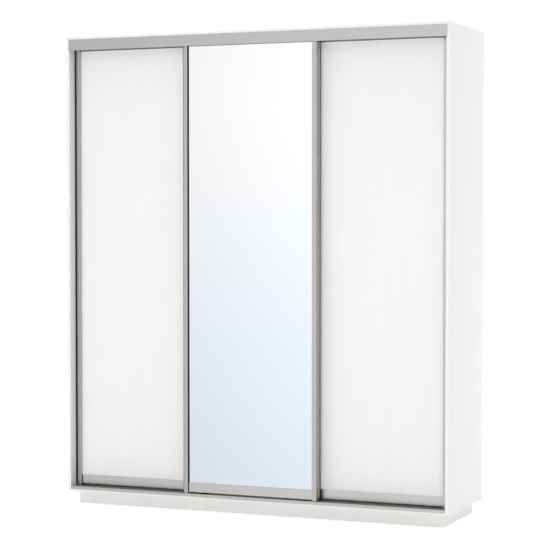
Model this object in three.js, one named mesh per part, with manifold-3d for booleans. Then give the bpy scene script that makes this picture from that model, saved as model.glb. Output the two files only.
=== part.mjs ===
// Three-door sliding wardrobe, millimetres, +Z up. The front faces -Y, the origin is on the floor
// at the middle of the footprint. Two white doors share the rear track and a mirror door runs in
// the front track, each on two grooved wheels.
import * as THREE from 'three';
import { mergeVertices } from 'three/addons/utils/BufferGeometryUtils.js';
import Module from 'manifold-3d';

const wasm = await Module();
wasm.setup();

// ---------------------------------------------------------------- driving dimensions

const WIDTH = 2050;
const DEPTH = 570;
const HEIGHT = 2400;
const BOARD = 16;
const BACK_SHEET = { thickness: 3, inset: 3 };
const JOINT_GAP = 0.3;
const CLOSE_GAP = 0.2; // between sections that slide together
const WALL = 1.5; // wall of every aluminium section
const OVERLAP = 0.5; // how far joined pieces of one solid reach into each other

const PLINTH = { height: 65, front: 53, side: 39, rear: 44 };

// The fascia laps the front edges of the top board and the side boards.
const FASCIA = { proud: 2, bottom: 2333.2, top: 2388.5, sideLap: 4, ribs: [2352, 2376], lipRear: 3 };

// Distances in Y are measured back from the front edges of the carcass.
const CARCASS_DEPTH = DEPTH - FASCIA.proud;
const SIDE_DEPTH = CARCASS_DEPTH - BACK_SHEET.thickness - JOINT_GAP;
const FRONT_DOOR_Y = 8;
const REAR_DOOR_Y = 58;
const INTERIOR_Y = 102;

const TOP_TRACK = { channel: 38, drop: 40 };
const BOTTOM_TRACK = {
  depth: 96,
  lipProud: 1.7,
  lipRise: 12,
  lipDrop: 4,
  chamfer: 0.5,
  rearRise: 8,
  ridge: 2.4,
};

const DOOR = { width: 724, bottom: 93, top: 2366, sideGap: 3, mirrorOffset: -9 };
const HANDLE = { face: 27, depth: 34, corner: 8, rib: 9, web: 4.5, ribY: 8.5, rearLip: 12 };
const BRUSH_SLOT = { from: 13, to: 19, deep: 3 };
const PANEL = { y: 10.2, thickness: 10, inset: 4.8 };
const MIRROR = { y: 11.5, thickness: 4, gasketLip: 4, gasketWall: 1.5 };
const BOTTOM_RAIL = { bottom: 99, top: 146, shelf: 126.5, rearWall: 28 };
const TOP_RAIL = { bottom: 2332, shelf: 2358 };

const WHEEL = { groove: 14, grooveWidth: 4, flange: 17, rim: 1.2, width: 8, bore: 3.4, inset: 90, y: 18.25 };
const AXLE_RADIUS = 3;
const HOUSING = { length: 70, width: 14, cheek: 28, plate: 1.5, bottom: 97 };
const RUNNING_RIB = { width: 3, height: 5 };
const GUIDE = { length: 50, width: 34.6, corner: 8, bottom: 2367, height: 12, stem: 24, inset: 60, y: 17 };

const HAT_SHELF_Z = 2050;
const LEFT_SHELVES = 4;
const SHELF_SETBACK = 3;
const CLOTHES_RAIL = { height: 30, width: 15, wall: 1.2, drop: 50, setback: 335 };

const ROUND_SEGMENTS = { wheel: 24, axle: 16, rail: 8, corner: 6, innerCorner: 5, bead: 4, guideCorner: 3 };

// ---------------------------------------------------------------- worked-out dimensions

const INNER_HALF = WIDTH / 2 - BOARD;
const FLOOR_Z = PLINTH.height + BOARD; // top face of the bottom board
const CEILING_Z = HEIGHT - BOARD; // underside of the top board
const BAY_WIDTH = (2 * INNER_HALF - 2 * BOARD) / 3;
const PARTITION_X = BAY_WIDTH / 2 + BOARD / 2;
const TRACK_FLOOR_Z = FLOOR_Z + JOINT_GAP + WALL + CLOSE_GAP;
const TRACK_LIP_Z = FLOOR_Z + BOTTOM_TRACK.lipRise;
const POCKET = PANEL.thickness + CLOSE_GAP; // room for a panel in its sections
const LIP_FRONT_Y = -BOTTOM_TRACK.lipProud;
const AXLE_Z = TRACK_FLOOR_Z + RUNNING_RIB.height + WHEEL.groove + JOINT_GAP;

// ---------------------------------------------------------------- materials

function finish(color, roughness, metalness) {
  return { color, roughness, metalness };
}

const WHITE_BOARD = finish(0xf3f2ef, 0.45, 0.0);
const HARDBOARD = finish(0xe9e5dd, 0.7, 0.0);
const ALUMINIUM = finish(0xc2c1bd, 0.35, 0.9);
const MIRROR_GLASS = finish(0xdfe8f3, 0.03, 1.0);
const GASKET = finish(0xc9c9c6, 0.6, 0.0);
const STEEL = finish(0x9a9b9d, 0.4, 0.9);
const NYLON = finish(0x2f3033, 0.5, 0.0);
const CHROME = finish(0xd5d7da, 0.15, 1.0);

// ---------------------------------------------------------------- geometry helpers

function named(name, geometry, material) {
  const mesh = new THREE.Mesh(geometry, new THREE.MeshStandardMaterial(material));
  mesh.name = name;
  return mesh;
}

// A box from its lowest to its highest value along each axis.
function box([x0, x1], [y0, y1], [z0, z1]) {
  const geometry = new THREE.BoxGeometry(x1 - x0, y1 - y0, z1 - z0);
  return geometry.translate((x0 + x1) / 2, (y0 + y1) / 2, (z0 + z1) / 2);
}

function outline(points) {
  return new THREE.Shape(points.map(([u, v]) => new THREE.Vector2(u, v)));
}

// An upright section: its outline is in X and Y.
function sectionUp(points, z0, z1) {
  const geometry = new THREE.ExtrudeGeometry(outline(points), { depth: z1 - z0, bevelEnabled: false });
  return geometry.translate(0, 0, z0);
}

// A level section: its outline is in Y and Z, and it runs along X.
function sectionAcross(shape, x0, x1) {
  const alongX = new THREE.Matrix4().makeBasis(
    new THREE.Vector3(0, 1, 0),
    new THREE.Vector3(0, 0, 1),
    new THREE.Vector3(1, 0, 0),
  );
  const settings = { depth: x1 - x0, bevelEnabled: false, curveSegments: ROUND_SEGMENTS.rail };
  const geometry = new THREE.ExtrudeGeometry(shape, settings);
  return geometry.applyMatrix4(alongX).translate(x0, 0, 0);
}

// A cylinder whose axis lies along Y.
function rod(radius, [y0, y1], x, z, segments) {
  const geometry = new THREE.CylinderGeometry(radius, radius, y1 - y0, segments);
  return geometry.translate(x, (y0 + y1) / 2, z);
}

function solid(geometry) {
  const bare = geometry.clone();
  bare.deleteAttribute('normal');
  bare.deleteAttribute('uv');
  const merged = mergeVertices(bare, 1e-4);
  const vertProperties = new Float32Array(merged.attributes.position.array);
  const triVerts = new Uint32Array(merged.index.array);
  return new wasm.Manifold(new wasm.Mesh({ numProp: 3, vertProperties, triVerts }));
}

function surface(manifold) {
  const mesh = manifold.getMesh();
  const geometry = new THREE.BufferGeometry();
  geometry.setAttribute('position', new THREE.BufferAttribute(new Float32Array(mesh.vertProperties), 3));
  geometry.setIndex(new THREE.BufferAttribute(new Uint32Array(mesh.triVerts), 1));
  geometry.computeVertexNormals();
  return geometry;
}

function join(geometries) {
  return surface(geometries.map(solid).reduce((whole, piece) => whole.add(piece)));
}

function cut(geometry, cutters) {
  return surface(cutters.map(solid).reduce((whole, piece) => whole.subtract(piece), solid(geometry)));
}

// ---------------------------------------------------------------- carcass

function carcass() {
  const group = new THREE.Group();
  const add = (name, geometry, material = WHITE_BOARD) => group.add(named(name, geometry, material));
  const inner = INNER_HALF - JOINT_GAP;
  const outer = WIDTH / 2;

  add('side_panel_left', box([-outer, -INNER_HALF], [0, SIDE_DEPTH], [PLINTH.height, HEIGHT]));
  add('side_panel_right', box([INNER_HALF, outer], [0, SIDE_DEPTH], [PLINTH.height, HEIGHT]));
  add('top_panel', box([-inner, inner], [0, SIDE_DEPTH], [CEILING_Z, HEIGHT]));
  add('bottom_panel', box([-inner, inner], [0, SIDE_DEPTH], [PLINTH.height, FLOOR_Z]));

  const upright = [FLOOR_Z + JOINT_GAP, CEILING_Z - JOINT_GAP];
  for (const [side, sign] of [['left', -1], ['right', 1]]) {
    const middle = sign * PARTITION_X;
    const across = [middle - BOARD / 2, middle + BOARD / 2];
    add(`partition_${side}`, box(across, [INTERIOR_Y, SIDE_DEPTH], upright));
  }

  // The back is three sheets, laid over the rear edges and meeting on the partitions.
  const { inset } = BACK_SHEET;
  const seam = JOINT_GAP;
  const sheets = {
    left: [-outer + inset, -PARTITION_X - seam],
    center: [-PARTITION_X + seam, PARTITION_X - seam],
    right: [PARTITION_X + seam, outer - inset],
  };
  const backY = [CARCASS_DEPTH - BACK_SHEET.thickness, CARCASS_DEPTH];
  const backZ = [PLINTH.height + inset, HEIGHT - inset];
  for (const [bay, across] of Object.entries(sheets)) {
    add(`back_panel_${bay}`, box(across, backY, backZ), HARDBOARD);
  }
  return group;
}

function plinth() {
  const group = new THREE.Group();
  const half = WIDTH / 2 - PLINTH.side;
  const rear = CARCASS_DEPTH - PLINTH.rear;
  const upright = [0, PLINTH.height - JOINT_GAP];
  const between = [PLINTH.front + BOARD + JOINT_GAP, rear - BOARD - JOINT_GAP];
  const boards = {
    plinth_front: [[-half, half], [PLINTH.front, PLINTH.front + BOARD]],
    plinth_rear: [[-half, half], [rear - BOARD, rear]],
    plinth_left: [[-half, -half + BOARD], between],
    plinth_right: [[half - BOARD, half], between],
    plinth_brace: [[-BOARD / 2, BOARD / 2], between],
  };
  for (const [name, [across, along]] of Object.entries(boards)) {
    group.add(named(name, box(across, along, upright), WHITE_BOARD));
  }
  return group;
}

// ---------------------------------------------------------------- shelves and clothes rails

function interior() {
  const group = new THREE.Group();
  const reach = BAY_WIDTH / 2 - JOINT_GAP;
  const bays = { left: -BAY_WIDTH - BOARD, center: 0, right: BAY_WIDTH + BOARD };

  const shelf = (name, middle, z) => {
    const across = [middle - reach, middle + reach];
    const along = [INTERIOR_Y + SHELF_SETBACK, SIDE_DEPTH - JOINT_GAP];
    group.add(named(name, box(across, along, [z, z + BOARD]), WHITE_BOARD));
  };
  for (const [bay, middle] of Object.entries(bays)) {
    shelf(`hat_shelf_${bay}`, middle, HAT_SHELF_Z);
  }
  const pitch = (HAT_SHELF_Z - FLOOR_Z - LEFT_SHELVES * BOARD) / (LEFT_SHELVES + 1) + BOARD;
  for (let level = 1; level <= LEFT_SHELVES; level += 1) {
    shelf(`shelf_left_${level}`, bays.left, FLOOR_Z + level * pitch - BOARD);
  }

  // Oval tube: two straight flanks and two half-round ends, hollow right through.
  const oval = (path, radius, straight) => {
    path.absarc(0, straight, radius, 0, Math.PI, false);
    path.absarc(0, -straight, radius, Math.PI, 2 * Math.PI, false);
    path.closePath();
    return path;
  };
  const straight = (CLOTHES_RAIL.height - CLOTHES_RAIL.width) / 2;
  const section = oval(new THREE.Shape(), CLOTHES_RAIL.width / 2, straight);
  section.holes.push(oval(new THREE.Path(), CLOTHES_RAIL.width / 2 - CLOTHES_RAIL.wall, straight));
  for (const bay of ['center', 'right']) {
    const tube = named(`clothes_rail_${bay}`, sectionAcross(section, -reach, reach), CHROME);
    tube.position.set(bays[bay], CLOTHES_RAIL.setback, HAT_SHELF_Z - CLOTHES_RAIL.drop);
    group.add(tube);
  }
  return group;
}

// ---------------------------------------------------------------- tracks and fascia

function topTrackOutline(ceiling) {
  const webBottom = CEILING_Z - TOP_TRACK.drop;
  const channels = [FRONT_DOOR_Y, REAR_DOOR_Y].flatMap((doorY) => {
    const middle = doorY + HANDLE.depth / 2;
    const near = middle - TOP_TRACK.channel / 2;
    const far = middle + TOP_TRACK.channel / 2;
    return [
      [near - WALL, ceiling - WALL],
      [near - WALL, webBottom],
      [near, webBottom],
      [near, ceiling - WALL],
      [far, ceiling - WALL],
      [far, webBottom],
      [far + WALL, webBottom],
      [far + WALL, ceiling - WALL],
    ];
  });
  const [front] = channels[0];
  const [rear] = channels[channels.length - 1];
  return [[front, ceiling], ...channels.slice(1, -1), [rear, ceiling]];
}

// A floor strip with a lip over the board's front edge, a running rib for each door line, a
// ridge between the lines and a low rear edge.
function bottomTrackOutline() {
  const { depth, lipDrop, chamfer, rearRise, ridge } = BOTTOM_TRACK;
  const floor = TRACK_FLOOR_Z;
  const seat = FLOOR_Z + JOINT_GAP;
  const lipBottom = FLOOR_Z - lipDrop;
  const lipFront = LIP_FRONT_Y;
  const lipRear = lipFront + WALL;
  const ribTop = floor + RUNNING_RIB.height;
  const bar = (middle, width, top) => [
    [middle + width / 2, floor],
    [middle + width / 2, top],
    [middle - width / 2, top],
    [middle - width / 2, floor],
  ];
  return [
    [lipFront, lipBottom],
    [-JOINT_GAP, lipBottom],
    [-JOINT_GAP, seat],
    [depth, seat],
    [depth, floor + rearRise],
    [depth - WALL, floor + rearRise],
    [depth - WALL, floor],
    ...bar(REAR_DOOR_Y + WHEEL.y, RUNNING_RIB.width, ribTop),
    ...bar((FRONT_DOOR_Y + HANDLE.depth + REAR_DOOR_Y) / 2, ridge, TRACK_LIP_Z),
    ...bar(FRONT_DOOR_Y + WHEEL.y, RUNNING_RIB.width, ribTop),
    [lipRear, floor],
    [lipRear, TRACK_LIP_Z - chamfer],
    [lipRear - chamfer, TRACK_LIP_Z],
    [lipFront + chamfer, TRACK_LIP_Z],
    [lipFront, TRACK_LIP_Z - chamfer],
  ];
}

// A flat face with a return along its lower edge and two ribs that clip to the track.
function fasciaGeometry(half, trackFront) {
  const { proud, bottom, top, sideLap, ribs, lipRear } = FASCIA;
  const face = half + JOINT_GAP + sideLap;
  const across = [-half, half];
  const rooted = -proud + OVERLAP;
  return join([
    box([-face, face], [-proud, -JOINT_GAP], [bottom, top]),
    box(across, [rooted, lipRear], [bottom, bottom + WALL]),
    ...ribs.map((z) => box(across, [rooted, trackFront - JOINT_GAP], [z, z + WALL])),
  ]);
}

function tracks() {
  const group = new THREE.Group();
  const half = INNER_HALF - JOINT_GAP;
  const comb = topTrackOutline(CEILING_Z - JOINT_GAP);
  const [[trackFront]] = comb;
  group.add(named('top_track', sectionAcross(outline(comb), -half, half), ALUMINIUM));
  group.add(named('fascia', fasciaGeometry(half, trackFront), ALUMINIUM));
  group.add(named('bottom_track', sectionAcross(outline(bottomTrackOutline()), -half, half), ALUMINIUM));
  return group;
}

// ---------------------------------------------------------------- door sections

function arc(x, y, radius, from, to, steps) {
  const points = [];
  for (let step = 0; step <= steps; step += 1) {
    const angle = from + ((to - from) * step) / steps;
    points.push([x + radius * Math.cos(angle), y + radius * Math.sin(angle)]);
  }
  return points;
}

// Open handle section of a door's left side, seen from above: x runs in from the outer face and
// y runs back from the front. The face curls over a finger groove; behind it a pocket holds the
// panel's edge, and the outer face has a slot for the brush seal.
function handleOutline() {
  const { face, depth, corner, rib, web, ribY, rearLip } = HANDLE;
  const bead = WALL / 2;
  const steps = ROUND_SEGMENTS;
  const pocketEnd = PANEL.y + POCKET;
  return [
    ...arc(corner, corner, corner, Math.PI, 1.5 * Math.PI, steps.corner),
    ...arc(face - bead, bead, bead, -Math.PI / 2, Math.PI / 2, steps.bead),
    ...arc(corner, corner, corner - WALL, 1.5 * Math.PI, Math.PI, steps.innerCorner),
    [WALL, ribY],
    [rib, ribY],
    [rib, ribY + WALL],
    [web, ribY + WALL],
    [web, pocketEnd],
    [rib, pocketEnd],
    [rib, pocketEnd + WALL],
    [WALL, pocketEnd + WALL],
    [WALL, depth - WALL],
    [rearLip, depth - WALL],
    [rearLip, depth],
    [0, depth],
    [0, BRUSH_SLOT.to],
    [BRUSH_SLOT.deep, BRUSH_SLOT.to],
    [BRUSH_SLOT.deep, BRUSH_SLOT.from],
    [0, BRUSH_SLOT.from],
  ];
}

function bottomRailOutline() {
  const { bottom, top, shelf, rearWall } = BOTTOM_RAIL;
  const front = HANDLE.ribY;
  const pocket = PANEL.y + POCKET;
  return [
    [front, bottom],
    [front + WALL, bottom],
    [front + WALL, shelf],
    [rearWall - WALL, shelf],
    [rearWall - WALL, bottom],
    [rearWall, bottom],
    [rearWall, shelf + WALL],
    [pocket + WALL, shelf + WALL],
    [pocket + WALL, top],
    [pocket, top],
    [pocket, shelf + WALL],
    [front + WALL, shelf + WALL],
    [front + WALL, top],
    [front, top],
  ];
}

function topRailOutline() {
  const { bottom, shelf } = TOP_RAIL;
  const front = HANDLE.ribY;
  const rear = PANEL.y + POCKET;
  return [
    [front, bottom],
    [front + WALL, bottom],
    [front + WALL, shelf],
    [rear, shelf],
    [rear, bottom],
    [rear + WALL, bottom],
    [rear + WALL, DOOR.top],
    [rear, DOOR.top],
    [rear, shelf + WALL],
    [front + WALL, shelf + WALL],
    [front + WALL, DOOR.top],
    [front, DOOR.top],
  ];
}

// ---------------------------------------------------------------- door pieces

// Grooved wheel with a bore, turned about Y and centred on its axle.
function wheelGeometry() {
  const { groove, grooveWidth, flange, rim, width, bore } = WHEEL;
  const half = width / 2;
  const profile = [
    [bore, -half],
    [flange, -half],
    [flange, -half + rim],
    [groove, -grooveWidth / 2],
    [groove, grooveWidth / 2],
    [flange, half - rim],
    [flange, half],
    [bore, half],
    [bore, -half],
  ];
  const points = profile.map(([radius, along]) => new THREE.Vector2(radius, along));
  return new THREE.LatheGeometry(points, ROUND_SEGMENTS.wheel);
}

// Bent steel bracket: a top plate, two cheeks and the axle riveted across them.
function housingGeometry(x) {
  const { length, width, cheek, plate, bottom } = HOUSING;
  const y0 = WHEEL.y - width / 2;
  const y1 = WHEEL.y + width / 2;
  const top = BOTTOM_RAIL.shelf - JOINT_GAP;
  const span = [x - length / 2, x + length / 2];
  const cheekSpan = [x - cheek / 2, x + cheek / 2];
  return join([
    box(span, [y0, y1], [top - plate, top]),
    box(cheekSpan, [y0, y0 + plate], [bottom, top - plate / 2]),
    box(cheekSpan, [y1 - plate, y1], [bottom, top - plate / 2]),
    rod(AXLE_RADIUS, [y0 + plate / 2, y1 - plate / 2], x, AXLE_Z, ROUND_SEGMENTS.axle),
  ]);
}

// Nylon guide: a round-ended shoe in the track's channel, on a stem held by the top rail.
function guideGeometry(x) {
  const { length, width, corner, bottom, height, stem, y } = GUIDE;
  const x0 = x - length / 2;
  const x1 = x + length / 2;
  const y0 = y - width / 2;
  const y1 = y + width / 2;
  const steps = ROUND_SEGMENTS.guideCorner;
  const shoe = [
    ...arc(x0 + corner, y0 + corner, corner, Math.PI, 1.5 * Math.PI, steps),
    ...arc(x1 - corner, y0 + corner, corner, 1.5 * Math.PI, 2 * Math.PI, steps),
    ...arc(x1 - corner, y1 - corner, corner, 0, Math.PI / 2, steps),
    ...arc(x0 + corner, y1 - corner, corner, Math.PI / 2, Math.PI, steps),
  ];
  const stemY = [HANDLE.ribY + WALL + JOINT_GAP, PANEL.y + POCKET - JOINT_GAP];
  const stemZ = [TOP_RAIL.shelf + WALL + JOINT_GAP, bottom + OVERLAP];
  return join([
    sectionUp(shoe, bottom, bottom + height),
    box([x - stem / 2, x + stem / 2], stemY, stemZ),
  ]);
}

// U-shaped gasket all round the mirror: a slab cut by the slot for the glass and by the view.
function gasketGeometry(across, along, upright) {
  const { y, thickness, gasketLip, gasketWall } = MIRROR;
  const grow = ([low, high], by) => [low - by, high + by];
  const slot = box(
    grow(across, -gasketWall),
    [y - JOINT_GAP, y + thickness + JOINT_GAP],
    grow(upright, -gasketWall),
  );
  const view = box(grow(across, -gasketLip), grow(along, OVERLAP), grow(upright, -gasketLip));
  return cut(box(across, along, upright), [slot, view]);
}

// One door in its own frame: x = 0 at its left edge, y = 0 at its front face.
function door(name, isMirror) {
  const group = new THREE.Group();
  const add = (piece, geometry, material) => {
    const mesh = named(`${name}_${piece}`, geometry, material);
    group.add(mesh);
    return mesh;
  };

  const section = handleOutline();
  const mirrored = section.map(([x, y]) => [DOOR.width - x, y]).reverse();
  add('handle_left', sectionUp(section, DOOR.bottom, DOOR.top), ALUMINIUM);
  add('handle_right', sectionUp(mirrored, DOOR.bottom, DOOR.top), ALUMINIUM);

  const railX = [HANDLE.rib + JOINT_GAP, DOOR.width - HANDLE.rib - JOINT_GAP];
  add('bottom_rail', sectionAcross(outline(bottomRailOutline()), ...railX), ALUMINIUM);
  add('top_rail', sectionAcross(outline(topRailOutline()), ...railX), ALUMINIUM);

  const across = [PANEL.inset, DOOR.width - PANEL.inset];
  const along = [PANEL.y, PANEL.y + PANEL.thickness];
  const upright = [BOTTOM_RAIL.shelf + WALL + JOINT_GAP, TOP_RAIL.shelf - JOINT_GAP];
  if (isMirror) {
    const edge = MIRROR.gasketWall + JOINT_GAP;
    const glass = box(
      [across[0] + edge, across[1] - edge],
      [MIRROR.y, MIRROR.y + MIRROR.thickness],
      [upright[0] + edge, upright[1] - edge],
    );
    add('mirror', glass, MIRROR_GLASS);
    add('gasket', gasketGeometry(across, along, upright), GASKET);
  } else {
    add('panel', box(across, along, upright), WHITE_BOARD);
  }

  for (const [side, sign] of [['left', -1], ['right', 1]]) {
    const middle = DOOR.width / 2;
    const wheelX = middle + sign * (middle - WHEEL.inset);
    add(`roller_housing_${side}`, housingGeometry(wheelX), STEEL);
    add(`wheel_${side}`, wheelGeometry(), NYLON).position.set(wheelX, WHEEL.y, AXLE_Z);
    const guideX = middle + sign * (middle - GUIDE.inset);
    add(`top_guide_${side}`, guideGeometry(guideX), NYLON);
  }
  return group;
}

function doors() {
  const group = new THREE.Group();
  const closed = INNER_HALF - DOOR.sideGap;
  const left = door('left_door', false);
  left.position.set(-closed, REAR_DOOR_Y, 0);
  const center = door('mirror_door', true);
  center.position.set(-DOOR.width / 2 + DOOR.mirrorOffset, FRONT_DOOR_Y, 0);
  const right = door('right_door', false);
  right.position.set(closed - DOOR.width, REAR_DOOR_Y, 0);
  group.add(left, center, right);
  return group;
}

// ---------------------------------------------------------------- the wardrobe

const wardrobe = new THREE.Group();
wardrobe.add(carcass(), plinth(), interior(), tracks(), doors());
wardrobe.position.y = -DEPTH / 2 + FASCIA.proud;

export default wardrobe;
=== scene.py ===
"""Three-door sliding wardrobe: finishes, small fittings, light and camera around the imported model.

Metres, +Z up, the doors face -Y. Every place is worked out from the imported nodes' boxes.
"""
import math
import random

import bmesh
import bpy
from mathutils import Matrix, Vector


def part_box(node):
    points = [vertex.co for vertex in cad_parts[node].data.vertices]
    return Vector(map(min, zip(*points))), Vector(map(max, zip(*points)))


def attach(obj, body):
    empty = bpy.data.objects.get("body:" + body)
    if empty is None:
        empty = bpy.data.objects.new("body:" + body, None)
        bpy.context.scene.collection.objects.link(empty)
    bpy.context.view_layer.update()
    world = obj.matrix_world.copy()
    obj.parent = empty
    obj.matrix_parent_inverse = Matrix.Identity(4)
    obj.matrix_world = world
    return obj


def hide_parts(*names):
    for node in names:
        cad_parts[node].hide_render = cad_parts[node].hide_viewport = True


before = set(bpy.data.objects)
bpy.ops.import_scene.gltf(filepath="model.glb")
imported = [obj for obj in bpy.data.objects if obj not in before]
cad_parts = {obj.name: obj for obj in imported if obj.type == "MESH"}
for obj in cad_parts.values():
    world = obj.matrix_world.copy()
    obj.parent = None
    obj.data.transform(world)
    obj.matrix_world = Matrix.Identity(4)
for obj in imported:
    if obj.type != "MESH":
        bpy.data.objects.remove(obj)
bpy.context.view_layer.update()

MM = 0.001
DOORS = ("left_door", "mirror_door", "right_door")
SIDES = {"left": -1, "right": 1}  # with the sign of X on that side
BAYS = ("left", "center", "right")
SHELVES = [f"hat_shelf_{bay}" for bay in BAYS] + [f"shelf_left_{number}" for number in range(1, 5)]

# ---------------------------------------------------------------- camera

CAMERA_PLACE = (3.582, -8.478, 1.500)
CAMERA_AZIMUTH = math.radians(22.8126)
CAMERA_PITCH = math.radians(1.95)
CAMERA_LENS = 118.7
CAMERA_SENSOR = 36
CAMERA_CLIP = (0.1, 100)


def make_camera():
    data = bpy.data.cameras.new("camera")
    data.lens = CAMERA_LENS
    data.sensor_width = CAMERA_SENSOR
    data.clip_start, data.clip_end = CAMERA_CLIP
    camera = bpy.data.objects.new("camera", data)
    camera.location = CAMERA_PLACE
    camera.rotation_euler = (math.pi / 2 - CAMERA_PITCH, 0, CAMERA_AZIMUTH)
    bpy.context.scene.collection.objects.link(camera)
    bpy.context.scene.camera = camera


# ---------------------------------------------------------------- node trees


class Nodes:
    """The node tree of a material or world, with short calls for the nodes used here."""

    def __init__(self, owner, shader):
        owner.use_nodes = True
        self.owner = owner
        self.tree = owner.node_tree
        self.shader = self.tree.nodes[shader]

    def add(self, kind, **settings):
        node = self.tree.nodes.new(kind)
        for key, value in settings.items():
            setattr(node, key, value)
        return node

    def join(self, source, target):
        self.tree.links.new(source, target)

    def feed(self, socket, value):
        """Sets a socket, from another node's output or from a plain value."""
        if isinstance(value, bpy.types.NodeSocket):
            self.join(value, socket)
        else:
            socket.default_value = value

    def set(self, **values):
        """Sets the shader's sockets by name, with spaces as underscores."""
        for key, value in values.items():
            self.feed(self.shader.inputs[key.replace("_", " ")], value)

    def place(self, scale):
        """Object coordinates in metres, scaled."""
        coordinates = self.add("ShaderNodeTexCoord")
        mapping = self.add("ShaderNodeMapping")
        mapping.inputs["Scale"].default_value = scale
        self.join(coordinates.outputs["Object"], mapping.inputs["Vector"])
        return mapping.outputs["Vector"]

    def axis(self, name):
        """One object coordinate, in metres."""
        coordinates = self.add("ShaderNodeTexCoord")
        split = self.add("ShaderNodeSeparateXYZ")
        self.join(coordinates.outputs["Object"], split.inputs[0])
        return split.outputs[name]

    def noise(self, scale, detail=3.0, roughness=0.5):
        """Noise over the object, with a scale for each axis in waves a metre."""
        node = self.add("ShaderNodeTexNoise")
        node.inputs["Scale"].default_value = 1.0
        node.inputs["Detail"].default_value = detail
        node.inputs["Roughness"].default_value = roughness
        self.join(self.place(scale), node.inputs["Vector"])
        return node.outputs["Fac"]

    def spread(self, value, low, high, source=(0.3, 0.7), kind="LINEAR"):
        """Maps a value's source range to low..high, clamped."""
        node = self.add("ShaderNodeMapRange", interpolation_type=kind)
        node.inputs["From Min"].default_value = source[0]
        node.inputs["From Max"].default_value = source[1]
        node.inputs["To Min"].default_value = low
        node.inputs["To Max"].default_value = high
        self.join(value, node.inputs["Value"])
        return node.outputs["Result"]

    def math(self, operation, first, second=0.0):
        node = self.add("ShaderNodeMath", operation=operation)
        self.feed(node.inputs[0], first)
        self.feed(node.inputs[1], second)
        return node.outputs[0]

    def choose(self, factor, otherwise, chosen):
        """One number where factor is 0, and another where it is 1."""
        node = self.add("ShaderNodeMix")
        self.feed(node.inputs["Factor"], factor)
        self.feed(node.inputs["A"], otherwise)
        self.feed(node.inputs["B"], chosen)
        return node.outputs["Result"]

    def mix(self, factor, first, second):
        """Mixes two colours."""
        node = self.add("ShaderNodeMix", data_type="RGBA")
        self.feed(node.inputs["Factor"], factor)
        self.feed(node.inputs[6], first)
        self.feed(node.inputs[7], second)
        return node.outputs[2]

    def bump(self, height, strength, distance):
        node = self.add("ShaderNodeBump")
        node.inputs["Strength"].default_value = strength
        node.inputs["Distance"].default_value = distance
        self.join(height, node.inputs["Height"])
        self.join(node.outputs["Normal"], self.shader.inputs["Normal"])


def material_nodes(name):
    return Nodes(bpy.data.materials.new(name), "Principled BSDF")


def grey(level, warmth=0.0):
    return (level, level * (1 - warmth), level * (1 - 2 * warmth), 1)


# ---------------------------------------------------------------- light and floor

# Each part of the sky: the sines of the elevations between which its light rises, and its full light.
SKY = (((0.15, 0.8), 0.72), ((0.8, 1.0), 1.35))
# What glossy faces find around them: brightest in front.
SHEEN_TOWARDS = (0.035, -0.999, 0)
SHEEN_LOW = 0.32
SHEEN_RISE = 1.12
SHEEN_FOCUS = 5.0
SHEEN_MOST = 1.18
FLOOR_GLOW = 0.27
FLOOR_HALF = 30.0
# name, place, target, size in metres, power in watts
LIGHTS = (
    ("front_wide", (0.6, -7.5, 1.3), (0, 0, 1.2), (3, 2.4), 46),
    ("front_narrow", (0.5, -7.5, 1.2), (0.4, 0, 1.2), (0.8, 2.0), 80),
    ("front_high", (0.5, -6.0, 5.0), (0.2, 0, 1.2), (3, 2.4), 54),
    ("front_left", (-5.2, -6.0, 1.6), (0, 0, 1.2), (3, 2.4), 30),
    ("rear_right", (6.0, 4.0, 2.0), (1.0, 0.3, 1.2), (3, 3), 220),
    ("rear_left", (-6.0, 4.0, 2.0), (-1.0, 0.3, 1.2), (3, 3), 180),
)


def area_light(name, place, target, size, power):
    data = bpy.data.lights.new(name, "AREA")
    data.shape = "RECTANGLE"
    data.size, data.size_y = size
    data.energy = power
    light = bpy.data.objects.new(name, data)
    light.location = place
    direction = Vector(target) - Vector(place)
    light.rotation_euler = direction.to_track_quat("-Z", "Y").to_euler()
    light.visible_glossy = False
    bpy.context.scene.collection.objects.link(light)


def make_world():
    """A pale studio all round: white to the camera, a lit sky, and its own brightness for sheen."""
    n = Nodes(bpy.data.worlds.new("studio"), "Background")
    direction = n.add("ShaderNodeTexCoord").outputs["Generated"]
    split = n.add("ShaderNodeSeparateXYZ")
    n.join(direction, split.inputs[0])
    parts = [n.spread(split.outputs["Z"], 0, full, rising, "SMOOTHSTEP") for rising, full in SKY]
    sky = n.math("ADD", *parts)

    ahead = n.add("ShaderNodeVectorMath", operation="DOT_PRODUCT")
    n.join(direction, ahead.inputs[0])
    ahead.inputs[1].default_value = SHEEN_TOWARDS
    forward = n.math("MAXIMUM", ahead.outputs["Value"], 0.0)
    rise = n.math("MULTIPLY", n.math("POWER", forward, SHEEN_FOCUS), SHEEN_RISE)
    sheen = n.math("MINIMUM", n.math("ADD", rise, SHEEN_LOW), SHEEN_MOST)

    path = n.add("ShaderNodeLightPath")
    light = n.choose(path.outputs["Is Glossy Ray"], sky, sheen)
    light = n.choose(path.outputs["Is Camera Ray"], light, 1.0)
    n.set(Color=grey(1), Strength=light)
    bpy.context.scene.world = n.owner


def floor_material():
    n = material_nodes("floor_paint")
    n.set(Base_Color=grey(0.97), Roughness=0.9)
    n.set(Specular_IOR_Level=0.0)
    n.set(Emission_Color=grey(1), Emission_Strength=FLOOR_GLOW)
    return n.owner


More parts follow.
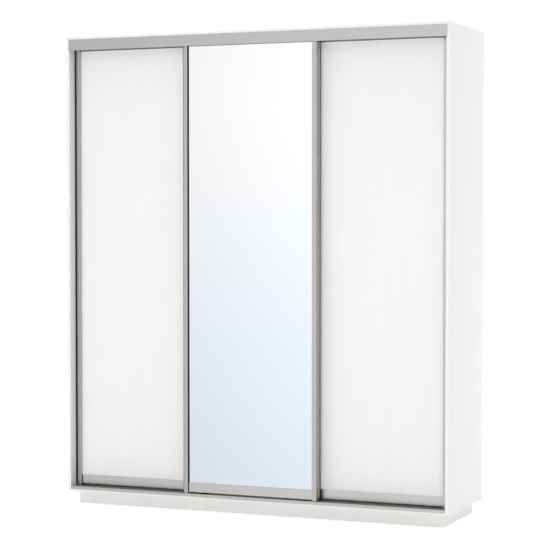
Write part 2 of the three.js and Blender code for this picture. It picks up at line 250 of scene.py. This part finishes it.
def make_studio():
    make_world()
    for light in LIGHTS:
        area_light(*light)

    mesh = bpy.data.meshes.new("studio_floor")
    corners = [(x * FLOOR_HALF, y * FLOOR_HALF, 0) for x, y in ((-1, -1), (1, -1), (1, 1), (-1, 1))]
    mesh.from_pydata(corners, [], [(0, 1, 2, 3)])
    mesh.materials.append(floor_material())
    floor = bpy.data.objects.new("studio_floor", mesh)
    floor.visible_glossy = False
    bpy.context.scene.collection.objects.link(floor)


# ---------------------------------------------------------------- materials

BOARD_WARMTH = 0.017
METAL_WARMTH = 0.022
CARCASS_WHITE = 0.82
DOOR_WHITE = 0.84
# painted shade: the plinth's white is a darker copy of the board white, for the shade under the carcass
# overhang
PLINTH_SHADED_WHITE = 0.79
# painted light and shade: one anodised aluminium in three copies whose levels are set apart by how lit each
# part looks, the rails lightest to make up for their shade near the track
TRACK_GREY = 0.61
RAIL_GREY = 0.66
HANDLE_GREY = 0.58
# Painted reflection on the mirror: its colour by height, from its lower edge to its upper one, paler above
# and a cool blue below.
MIRROR_PAINTED_REFLECTION = (
    (0.0, (0.76, 0.83, 0.90)),
    (0.30, (0.82, 0.88, 0.95)),
    (0.62, (0.93, 0.95, 0.98)),
    (0.85, (0.99, 0.99, 0.99)),
)


def along(axis, across, length):
    """Texture scale that is fine across a grain and long along it."""
    return tuple(length if name == axis else across for name in "XYZ")


def board_material(name, level, grain, streaks=0.012):
    """Melamine-faced board: a faint grain, a fine embossed surface and a satin sheen."""
    n = material_nodes(name)
    broad = n.noise(along(grain, 28, 0.9), 4)
    fine = n.noise(along(grain, 900, 12), 4, 0.6)
    pores = n.noise(along(grain, 2600, 90), 2)
    tone = n.math("MULTIPLY", n.spread(broad, 1 - streaks, 1.0), n.spread(fine, 1 - streaks / 2, 1.0))
    n.set(Base_Color=n.mix(tone, grey(0), grey(level, BOARD_WARMTH)))
    n.set(Roughness=n.spread(fine, 0.38, 0.5))
    n.set(Specular_IOR_Level=0.35)
    n.bump(pores, 0.25, 0.12 * MM)
    return n.owner


def hardboard_material():
    """Thin board: white lacquer on the inside, raw pressed fibre on the back."""
    n = material_nodes("hardboard")
    fibre = n.noise((340, 340, 340), 6, 0.7)
    cloud = n.noise((5, 5, 5), 3)
    raw = n.mix(n.spread(fibre, 0, 1), (0.30, 0.19, 0.11, 1), (0.47, 0.33, 0.21, 1))
    raw = n.mix(n.spread(cloud, 0, 0.35), raw, (0.40, 0.27, 0.165, 1))
    lacquer_depth = 0.3 * MM
    behind = n.math("GREATER_THAN", n.axis("Y"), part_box("back_panel_center")[0].y + lacquer_depth)
    n.set(Base_Color=n.mix(behind, grey(0.80, 0.012), raw))
    n.set(Roughness=n.spread(behind, 0.45, 0.72, (0, 1)))
    n.bump(fibre, 0.35, 0.4 * MM)
    return n.owner


def aluminium_material(name, grain, level):
    """Satin anodised aluminium with fine drawing lines along the section."""
    n = material_nodes(name)
    lines = n.noise(along(grain, 2200, 1.5), 5, 0.65)
    cloud = n.noise(along(grain, 40, 2), 2)
    shades = (grey(level * 0.94, METAL_WARMTH), grey(level, METAL_WARMTH))
    n.set(Base_Color=n.mix(n.spread(lines, 0, 1), *shades))
    n.set(Roughness=n.math("ADD", n.spread(lines, 0.26, 0.36), n.spread(cloud, -0.02, 0.02)))
    n.set(Metallic=1.0)
    n.bump(lines, 0.12, 0.05 * MM)
    return n.owner


def mirror_material():
    """Silvered glass with a painted reflection, paler above and a cool blue below; its back is grey
    protective film.
    """
    n = material_nodes("mirror")
    low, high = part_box("mirror_door_mirror")
    # painted reflection: a colour ramp up the mirror's height, paler above and a cool blue below
    ramp = n.add("ShaderNodeValToRGB")
    elements = ramp.color_ramp.elements
    while len(elements) < len(MIRROR_PAINTED_REFLECTION):
        elements.new(0.5)
    for element, (place, reflected_colour) in zip(elements, MIRROR_PAINTED_REFLECTION):
        element.position = place
        element.color = (*reflected_colour, 1)
    n.join(n.spread(n.axis("Z"), 0, 1, (low.z, high.z)), ramp.inputs["Fac"])
    behind = n.math("GREATER_THAN", n.axis("Y"), (low.y + high.y) / 2)
    weave = n.noise((900, 900, 900), 3)
    film = n.mix(n.spread(weave, 0, 1), grey(0.30), grey(0.36))
    n.set(Base_Color=n.mix(behind, ramp.outputs["Color"], film))
    n.set(Metallic=n.math("SUBTRACT", 1.0, behind))
    n.set(Roughness=n.spread(behind, 0.012, 0.55, (0, 1)))
    return n.owner


def steel_material():
    """Zinc-plated pressed steel, with a soft spangle."""
    n = material_nodes("zinc_plated_steel")
    cells = n.add("ShaderNodeTexVoronoi")
    cells.inputs["Scale"].default_value = 1.0
    n.join(n.place((260, 260, 260)), cells.inputs["Vector"])
    spangle = n.spread(cells.outputs["Distance"], 0, 1, (0, 0.8))
    n.set(Base_Color=n.mix(spangle, (0.50, 0.51, 0.53, 1), (0.62, 0.63, 0.64, 1)))
    n.set(Metallic=1.0, Roughness=n.spread(spangle, 0.28, 0.42, (0, 1)))
    n.bump(n.noise((1500, 1500, 1500)), 0.1, 0.1 * MM)
    return n.owner


def chrome_material(name):
    n = material_nodes(name)
    haze = n.noise((6, 60, 60), 4)
    n.set(Base_Color=n.mix(n.spread(haze, 0, 1), grey(0.72), grey(0.78)))
    n.set(Metallic=1.0, Roughness=n.spread(haze, 0.06, 0.14))
    return n.owner


def grained_material(name, scale, shades, roughness, strength, depth):
    """Rubber or plastic: two close shades and a fine matt skin, with bumps of the given depth."""
    n = material_nodes(name)
    grain = n.noise(scale, 3)
    n.set(Base_Color=n.mix(n.spread(grain, 0, 1), *shades))
    n.set(Roughness=n.spread(grain, *roughness))
    n.bump(grain, strength, depth)
    return n.owner


def rubber_material(name, level):
    shades = (grey(level * 0.93), grey(level))
    return grained_material(name, (800, 800, 800), shades, (0.55, 0.7), 0.2, 0.1 * MM)


def nylon_material():
    shades = (grey(0.018), grey(0.030))
    return grained_material("dark_nylon", (1400, 1400, 1400), shades, (0.42, 0.55), 0.25, 0.08 * MM)


def plastic_material():
    """Extruded white plastic."""
    shades = (grey(0.72 * 0.96, 0.02), grey(0.72, 0.02))
    return grained_material("white_plastic", (700, 700, 120), shades, (0.4, 0.52), 0.15, 0.08 * MM)


def pile_material():
    """Grey polypropylene pile of the seals."""
    n = material_nodes("brush_pile")
    fibre = n.noise((900, 900, 5200), 3)
    n.set(Base_Color=n.mix(n.spread(fibre, 0, 1), grey(0.035, 0.03), grey(0.085, 0.03)))
    n.set(Roughness=0.8)
    n.bump(fibre, 0.6, 0.3 * MM)
    return n.owner


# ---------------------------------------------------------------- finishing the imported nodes

BOARD_EDGE = 0.5 * MM
WELD_DISTANCE = 0.01 * MM


def finish(nodes, material, edge=0.0):
    """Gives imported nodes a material, and softens their edges where edge is more than 0."""
    for name in nodes:
        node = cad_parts[name]
        node.data.materials.clear()
        node.data.materials.append(material)
        if edge:
            weld = node.modifiers.new("weld", "WELD")
            weld.merge_threshold = WELD_DISTANCE
            bevel = node.modifiers.new("soft_edges", "BEVEL")
            bevel.width = edge
            bevel.segments = 2
            bevel.limit_method = "ANGLE"
            bevel.angle_limit = math.radians(40)


def finish_nodes():
    upright = board_material("white_board_upright", CARCASS_WHITE, "Z")
    level = board_material("white_board_level", CARCASS_WHITE, "X")
    door = board_material("door_board", DOOR_WHITE, "Z", 0.02)
    # painted shade: the plinth gets a darker copy of the white board
    plinth = board_material("plinth_board", PLINTH_SHADED_WHITE, "X")
    walls = [f"{kind}_{side}" for kind in ("side_panel", "partition") for side in SIDES]
    finish(walls, upright, BOARD_EDGE)
    finish(["top_panel", "bottom_panel", *SHELVES], level, BOARD_EDGE)
    finish([f"plinth_{place}" for place in ("front", "rear", "left", "right", "brace")], plinth, BOARD_EDGE)
    finish(["left_door_panel", "right_door_panel"], door, BOARD_EDGE)

    # painted light and shade: copies of one aluminium at the levels set above
    track = aluminium_material("track_aluminium", "X", TRACK_GREY)
    rail = aluminium_material("rail_aluminium", "X", RAIL_GREY)
    handle = aluminium_material("handle_aluminium", "Z", HANDLE_GREY)
    steel, nylon = steel_material(), nylon_material()
    finish(["fascia", "top_track", "bottom_track"], track)
    for name in DOORS:
        finish([f"{name}_bottom_rail", f"{name}_top_rail"], rail)
        finish([f"{name}_handle_{side}" for side in SIDES], handle)
        finish([f"{name}_roller_housing_{side}" for side in SIDES], steel)
        finish([f"{name}_{part}_{side}" for part in ("wheel", "top_guide") for side in SIDES], nylon)
    finish(["mirror_door_mirror"], mirror_material())
    finish(["mirror_door_gasket"], rubber_material("gasket", 0.42))
    finish(["clothes_rail_center", "clothes_rail_right"], chrome_material("chrome"))


# ---------------------------------------------------------------- shapes

CROSS_WAIST = 0.4  # of the radius of a screw's cross recess, between its arms
SCREW_RADIUS = 3.2 * MM
SCREW_HEIGHT = 1.1 * MM


def piece(name, mesh, body, material, sharp=35):
    """Turns a built mesh into a piece that rides on a body."""
    bmesh.ops.recalc_face_normals(mesh, faces=mesh.faces)
    data = bpy.data.meshes.new(name)
    mesh.to_mesh(data)
    mesh.free()
    data.materials.append(material)
    data.polygons.foreach_set("use_smooth", [True] * len(data.polygons))
    data.set_sharp_from_angle(angle=math.radians(sharp))
    made = bpy.data.objects.new(name, data)
    bpy.context.scene.collection.objects.link(made)
    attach(made, body)
    return made


def in_metres(millimetres):
    """An outline's points, from millimetres."""
    return [(first * MM, second * MM) for first, second in millimetres]


def face_x(name, sign):
    """X of a node's left face for sign -1, and of its right face for sign 1."""
    low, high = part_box(name)
    return high.x if sign > 0 else low.x


def spaced(low, high, pitch):
    """Even places from low to high, no further apart than pitch."""
    count = max(1, math.ceil((high - low) / pitch))
    return [low + (high - low) * step / count for step in range(count + 1)]


def swept(mesh, sections, ring=False):
    """Joins equal outlines into a solid, capped at its two ends or closed into a ring."""
    rows = [[mesh.verts.new(point) for point in section] for section in sections]
    pairs = list(zip(rows, rows[1:]))
    if ring:
        pairs.append((rows[-1], rows[0]))
    else:
        mesh.faces.new(rows[0])
        mesh.faces.new(rows[-1][::-1])
    count = len(rows[0])
    for first, second in pairs:
        for step in range(count):
            following = (step + 1) % count
            mesh.faces.new((first[step], first[following], second[following], second[step]))


def turned(mesh, outline, centre, axis, steps=16):
    """Adds a solid of revolution. The outline gives (radius, height) from the axis and back to it.

    A third value makes a ring a cross: every fourth point keeps its radius and the others come in.
    """
    axis = Vector(axis)
    side = axis.orthogonal().normalized()
    other = axis.cross(side)
    rings = []
    for radius, height, *cross in outline:
        foot = Vector(centre) + axis * height
        ring = []
        for step in range(steps if radius else 1):
            turn = 2 * math.pi * step / steps
            reach = radius * (CROSS_WAIST if cross and step % 4 else 1)
            ring.append(mesh.verts.new(foot + reach * (side * math.cos(turn) + other * math.sin(turn))))
        rings.append(ring)
    for first, second in zip(rings, rings[1:]):
        for step in range(steps):
            following = (step + 1) % steps
            corners = (first[step % len(first)], first[following % len(first)])
            corners += (second[following % len(second)], second[step % len(second)])
            mesh.faces.new(tuple(dict.fromkeys(corners)))


def screw_head(mesh, centre, axis, radius=SCREW_RADIUS, height=SCREW_HEIGHT):
    """Low domed head with a cross recess, standing on the point centre and facing along axis."""
    outline = (
        (0, 0.25 * height),
        (0.42 * radius, 0.35 * height, True),
        (0.58 * radius, 0.97 * height, True),
        (0.66 * radius, 0.95 * height),
        (0.88 * radius, 0.62 * height),
        (radius, 0.2 * height),
        (radius, 0),
        (0, 0),
    )
    turned(mesh, outline, centre, axis)


# ---------------------------------------------------------------- seals

# Width and thickness of a seal's backing strip, and the length and the widths at foot and tip of its pile.
SLOT_SEAL = {"width": 5.4 * MM, "thickness": 1.25 * MM, "length": 3.4 * MM, "foot": 3.0 * MM, "tip": 2.3 * MM}
# The side seal is partly a real pile strip and partly painted shade: wide and dark to darken the gap where
# the rear doors close.
SIDE_SEAL_WIDENED_AS_SHADE = {"width": 15 * MM, "thickness": 0.8 * MM, "length": 1.6 * MM, "foot": 14.4 * MM, "tip": 13.4 * MM}
REAR_SEAL = {"width": 5.6 * MM, "thickness": 1.0 * MM, "foot": 4.8 * MM, "tip": 4.0 * MM}
SLOT_FLOOR = 2.95 * MM  # in from the handle section's outer face
SLOT_MIDDLE = 16 * MM  # behind the handle section's front
REAR_SEAL_INSET = 3.2 * MM  # in from the handle section's outer face
REAR_SEAL_GAP = 1.2 * MM  # from its pile to the doors behind
SIDE_SEAL_MIDDLE = 2.3 * MM  # behind the front of the rear doors
SEAL_END_GAP = 1 * MM  # from the ends of the handle section
TRACK_GAP = 2 * MM  # from the ends of the upright seals to the tracks
PILE_PITCH = 4 * MM
PILE_FRAY = 0.7 * MM
PILE_LEAN = 0.35 * MM
PILE_TIP = 0.4 * MM
STRIP_EDGE = 0.25 * MM


def level_point(root, facing, out, side, z):
    """The point that lies out along facing and side across it from root, at height z."""
    return (root[0] + out * facing[0] - side * facing[1], root[1] + out * facing[1] + side * facing[0], z)


def add_strip(name, body, root, facing, width, thickness, heights, material):
    """Flat backing strip of a seal, with its front edges taken off."""
    half = width / 2
    shape = (
        (0, -half),
        (thickness - STRIP_EDGE, -half),
        (thickness, STRIP_EDGE - half),
        (thickness, half - STRIP_EDGE),
        (thickness - STRIP_EDGE, half),
        (0, half),
    )
    mesh = bmesh.new()
    swept(mesh, [[level_point(root, facing, out, side, z) for out, side in shape] for z in heights])
    piece(name, mesh, body, material)


def add_pile(name, body, root, facing, length, foot, tip, heights, draw, material):
    """Upright row of bristles, frayed at the tips.

    root is the middle of its foot in X and Y, and facing is the way the bristles point.
    """
    rows = []
    for z in spaced(*heights, PILE_PITCH):
        reach = length - PILE_FRAY * draw.random()
        lean = PILE_LEAN * (draw.random() - 0.5)
        shoulder = reach - PILE_TIP
        fin = (
            (0, -foot / 2),
            (shoulder, lean - tip / 2),
            (reach, lean),
            (shoulder, lean + tip / 2),
            (0, foot / 2),
        )
        rows.append([level_point(root, facing, out, side, z) for out, side in fin])
    mesh = bmesh.new()
    swept(mesh, rows)
    piece(name, mesh, body, material, 60)


def add_seals(pile, strip):
    """Pile seals in the outer slots of the handle sections, behind the mirror door and on the side panels;
    those on the side panels are partly painted shade, made wide and dark in the gap beside the doors.
    """
    draw = random.Random(5)

    def add_seal(names, body, root, facing, heights, width, thickness, length, foot, tip):
        add_strip(names.format("strip"), body, root, facing, width, thickness, heights, strip)
        top = (root[0] + facing[0] * thickness, root[1] + facing[1] * thickness)
        add_pile(names.format("pile"), body, top, facing, length, foot, tip, heights, draw, pile)

    rear_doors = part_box("left_door_handle_left")[0].y
    between_tracks = (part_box("bottom_track")[1].z + TRACK_GAP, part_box("top_track")[0].z - TRACK_GAP)
    for door in DOORS:
        for side, outward in SIDES.items():
            handle = f"{door}_handle_{side}"
            low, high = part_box(handle)
            face = face_x(handle, outward)
            root = (face - outward * SLOT_FLOOR, low.y + SLOT_MIDDLE)
            heights = (low.z + SEAL_END_GAP, high.z - SEAL_END_GAP)
            add_seal(f"{door}_brush_{{}}_{side}", door, root, (outward, 0), heights, **SLOT_SEAL)
            if door == "mirror_door":
                root = (face - outward * REAR_SEAL_INSET, high.y)
                length = rear_doors - high.y - REAR_SEAL["thickness"] - REAR_SEAL_GAP
                names = f"{door}_rear_{{}}_{side}"
                add_seal(names, door, root, (0, 1), between_tracks, length=length, **REAR_SEAL)

    # side seals: a real pile strip, widened into painted shade in the gap beside the rear doors
    for side, outward in SIDES.items():
        root = (face_x(f"side_panel_{side}", -outward), rear_doors + SIDE_SEAL_MIDDLE)
        add_seal(f"side_seal_and_shade_{{}}_{side}", "carcass", root, (-outward, 0), between_tracks, **SIDE_SEAL_WIDENED_AS_SHADE)


# ---------------------------------------------------------------- screws, sockets and pins

DOOR_SCREW_DEPTH = 26 * MM  # behind the handle section's front
DOOR_SCREW_LOW = 9 * MM  # above the bottom rail's lower edge
DOOR_SCREW_HIGH = 10 * MM  # below its upper edge
# Each track: the way its screws face, how deep they are seated, and their lines behind its front.
TRACK_SCREWS = (
    ("bottom_track", 1, 6 * MM, (41 * MM, 63.5 * MM)),
    ("top_track", -1, 1.5 * MM, (20.5 * MM, 70.5 * MM)),
)
TRACK_SCREW_END = 60 * MM
TRACK_SCREW_PITCH = 400 * MM
TRACK_SCREW_SIZE = (3.4 * MM, 1.0 * MM)
WALL_GAP = 0.3 * MM  # between a board's or rail's end and the wall beside it
SOCKET_STEPS = 32
# The cup round a clothes rail, in mm: out from the rail's face, and along the rail from the wall.
SOCKET_PROFILE = (
    (0.2, 0),
    (9.4, 0),
    (10, 0.7),
    (9.8, 1.6),
    (9, 2.1),
    (3.4, 2.5),
    (2.5, 3.3),
    (2.3, 9.2),
    (1.8, 9.8),
    (0.5, 9.8),
    (0.2, 9.4),
)
SOCKET_SCREW_OUT = 6.3 * MM
SOCKET_SCREW_SEAT = 2.2 * MM
SOCKET_SCREW_SIZE = (2.4 * MM, 0.9 * MM)
# A shelf pin, in mm: radius, and height from the wall's face.
PIN_OUTLINE = ((0, -0.5), (4.2, -0.5), (4.2, 1.0), (3.8, 1.5), (2.5, 1.6), (2.5, 8.6), (2.1, 9.0), (0, 9.0))
PIN_RADIUS = 4.2 * MM
PIN_INSET = 50 * MM
PIN_SEAT = 0.5 * MM
PIN_STEPS = 14


def add_door_screws(metal):
    """Screws through the handle sections into the rails, in the doors' edges."""
    for door in DOORS:
        bottom_low, bottom_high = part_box(f"{door}_bottom_rail")
        top_low, top_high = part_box(f"{door}_top_rail")
        heights = [bottom_low.z + DOOR_SCREW_LOW, bottom_high.z - DOOR_SCREW_HIGH]
        heights.append((top_low.z + top_high.z) / 2)
        for side, outward in SIDES.items():
            handle = f"{door}_handle_{side}"
            face, y = face_x(handle, outward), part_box(handle)[0].y + DOOR_SCREW_DEPTH
            mesh = bmesh.new()
            for z in heights:
                screw_head(mesh, (face, y, z), (outward, 0, 0))
            piece(f"{door}_edge_screws_{side}", mesh, door, metal)


def add_track_screws(metal):
    """Screws down through the bottom track and up through the top one."""
    for name, facing, seat, lines in TRACK_SCREWS:
        low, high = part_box(name)
        z = (low.z if facing > 0 else high.z) + facing * seat
        mesh = bmesh.new()
        for x in spaced(low.x + TRACK_SCREW_END, high.x - TRACK_SCREW_END, TRACK_SCREW_PITCH):
            for line in lines:
                screw_head(mesh, (x, low.y + line, z), (0, 0, facing), *TRACK_SCREW_SIZE)
        piece(f"{name}_screws", mesh, "carcass", metal)


def add_rail_sockets(metal, screw_metal):
    """Oval cups that hold the ends of the clothes rails, each with two screws."""
    for bay in ("center", "right"):
        low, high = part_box(f"clothes_rail_{bay}")
        middle = (low + high) / 2
        half_width = (high.y - low.y) / 2
        half_rise = (high.z - low.z) / 2 - half_width
        for side, outward in SIDES.items():
            wall = face_x(f"clothes_rail_{bay}", outward) + outward * WALL_GAP
            sections = []
            for step in range(SOCKET_STEPS):
                turn = 2 * math.pi * (step + 0.5) / SOCKET_STEPS
                centre = middle.z + math.copysign(half_rise, math.sin(turn))
                section = []
                for out, along_rail in in_metres(SOCKET_PROFILE):
                    reach = half_width + out
                    y, z = middle.y + reach * math.cos(turn), centre + reach * math.sin(turn)
                    section.append((wall - outward * along_rail, y, z))
                sections.append(section)
            mesh = bmesh.new()
            swept(mesh, sections, ring=True)
            piece(f"rail_socket_{bay}_{side}", mesh, "carcass", metal)

            mesh = bmesh.new()
            x = wall - outward * SOCKET_SCREW_SEAT
            for sign in (-1, 1):
                z = middle.z + sign * (half_rise + half_width + SOCKET_SCREW_OUT)
                screw_head(mesh, (x, middle.y, z), (-outward, 0, 0), *SOCKET_SCREW_SIZE)
            piece(f"rail_socket_screws_{bay}_{side}", mesh, "carcass", screw_metal)


def add_shelf_pins(metal):
    """Four stepped pins under each shelf."""
    outline = in_metres(PIN_OUTLINE)
    for shelf in SHELVES:
        low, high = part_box(shelf)
        mesh = bmesh.new()
        for outward in SIDES.values():
            x = face_x(shelf, outward) + outward * (WALL_GAP - PIN_SEAT)
            for y in (low.y + PIN_INSET, high.y - PIN_INSET):
                turned(mesh, outline, (x, y, low.z - PIN_RADIUS), (-outward, 0, 0), PIN_STEPS)
        piece(f"{shelf}_pins", mesh, "carcass", metal)


# ---------------------------------------------------------------- the back

SHEET_THICKNESS = 2.4 * MM
SHEET_EDGE = 0.3 * MM
# A nail's head, in mm: radius, and height from the sheet.
NAIL_OUTLINE = ((0, 0.42), (1.5, 0.36), (2.2, 0.12), (2.2, 0), (0, 0))
NAIL_STEPS = 10
NAIL_INSET = 7 * MM
NAIL_PITCH = 150 * MM
NAIL_CORNER = 40 * MM
SHELF_NAIL_CORNER = 60 * MM
SHELF_NAIL_PITCH = 200 * MM
# A joining strip's section, in mm: across the seam, and back from the sheet.
SEAM_OUTLINE = ((-11, 0), (11, 0), (11, 0.3), (10.4, 0.58), (-10.4, 0.58), (-11, 0.3))
SEAM_END_GAP = 1 * MM


def add_back_sheet(bay, material):
    """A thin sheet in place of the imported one, with its edges taken off."""
    low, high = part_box(f"back_panel_{bay}")
    rear = low.y + SHEET_THICKNESS
    levels = ((low.y, SHEET_EDGE), (low.y + SHEET_EDGE, 0), (rear - SHEET_EDGE, 0), (rear, SHEET_EDGE))
    sections = []
    for y, inset in levels:
        left, right, bottom, top = low.x + inset, high.x - inset, low.z + inset, high.z - inset
        sections.append([(left, y, bottom), (right, y, bottom), (right, y, top), (left, y, top)])
    mesh = bmesh.new()
    swept(mesh, sections)
    sheet = piece(f"back_sheet_{bay}", mesh, "carcass", material)
    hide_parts(f"back_panel_{bay}")


def nail_places(bay):
    """X and Z of a sheet's nails: at its outer, lower and upper edges, and along its bay's hat shelf."""
    low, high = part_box(f"back_panel_{bay}")
    outer = {"left": low.x + NAIL_INSET, "right": high.x - NAIL_INSET}
    places = []
    if bay in outer:
        places += [(outer[bay], z) for z in spaced(low.z + NAIL_INSET, high.z - NAIL_INSET, NAIL_PITCH)]
    for x in spaced(low.x + NAIL_CORNER, high.x - NAIL_CORNER, NAIL_PITCH):
        places += [(x, low.z + NAIL_INSET), (x, high.z - NAIL_INSET)]
    shelf_low, shelf_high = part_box(f"hat_shelf_{bay}")
    line = spaced(low.x + SHELF_NAIL_CORNER, high.x - SHELF_NAIL_CORNER, SHELF_NAIL_PITCH)
    return places + [(x, (shelf_low.z + shelf_high.z) / 2) for x in line]


def add_back(sheet, strip, metal):
    """Back sheets with nailed edges, and the joining strips over their seams."""
    low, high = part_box("back_panel_center")
    rear = low.y + SHEET_THICKNESS
    head = in_metres(NAIL_OUTLINE)
    for bay in BAYS:
        add_back_sheet(bay, sheet)
        mesh = bmesh.new()
        for x, z in nail_places(bay):
            turned(mesh, head, (x, rear, z), (0, 1, 0), NAIL_STEPS)
        piece(f"back_nails_{bay}", mesh, "carcass", metal)

    ends = (low.z + SEAM_END_GAP, high.z - SEAM_END_GAP)
    for side in SIDES:
        wall_low, wall_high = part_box(f"partition_{side}")
        middle = (wall_low.x + wall_high.x) / 2
        mesh = bmesh.new()
        swept(mesh, [[(middle + x, rear + y, z) for x, y in in_metres(SEAM_OUTLINE)] for z in ends])
        piece(f"back_seam_strip_{side}", mesh, "carcass", strip)


def add_fittings():
    steel = steel_material()
    add_seals(pile_material(), rubber_material("brush_base", 0.10))
    add_door_screws(steel)
    add_track_screws(steel)
    add_rail_sockets(chrome_material("chrome_sockets"), steel)
    add_shelf_pins(steel)
    add_back(hardboard_material(), plastic_material(), steel)


# ---------------------------------------------------------------- the scene

make_camera()
make_studio()
finish_nodes()
add_fittings()

bpy.context.scene.view_settings.view_transform = "Standard"
bpy.context.scene.view_settings.look = "None"
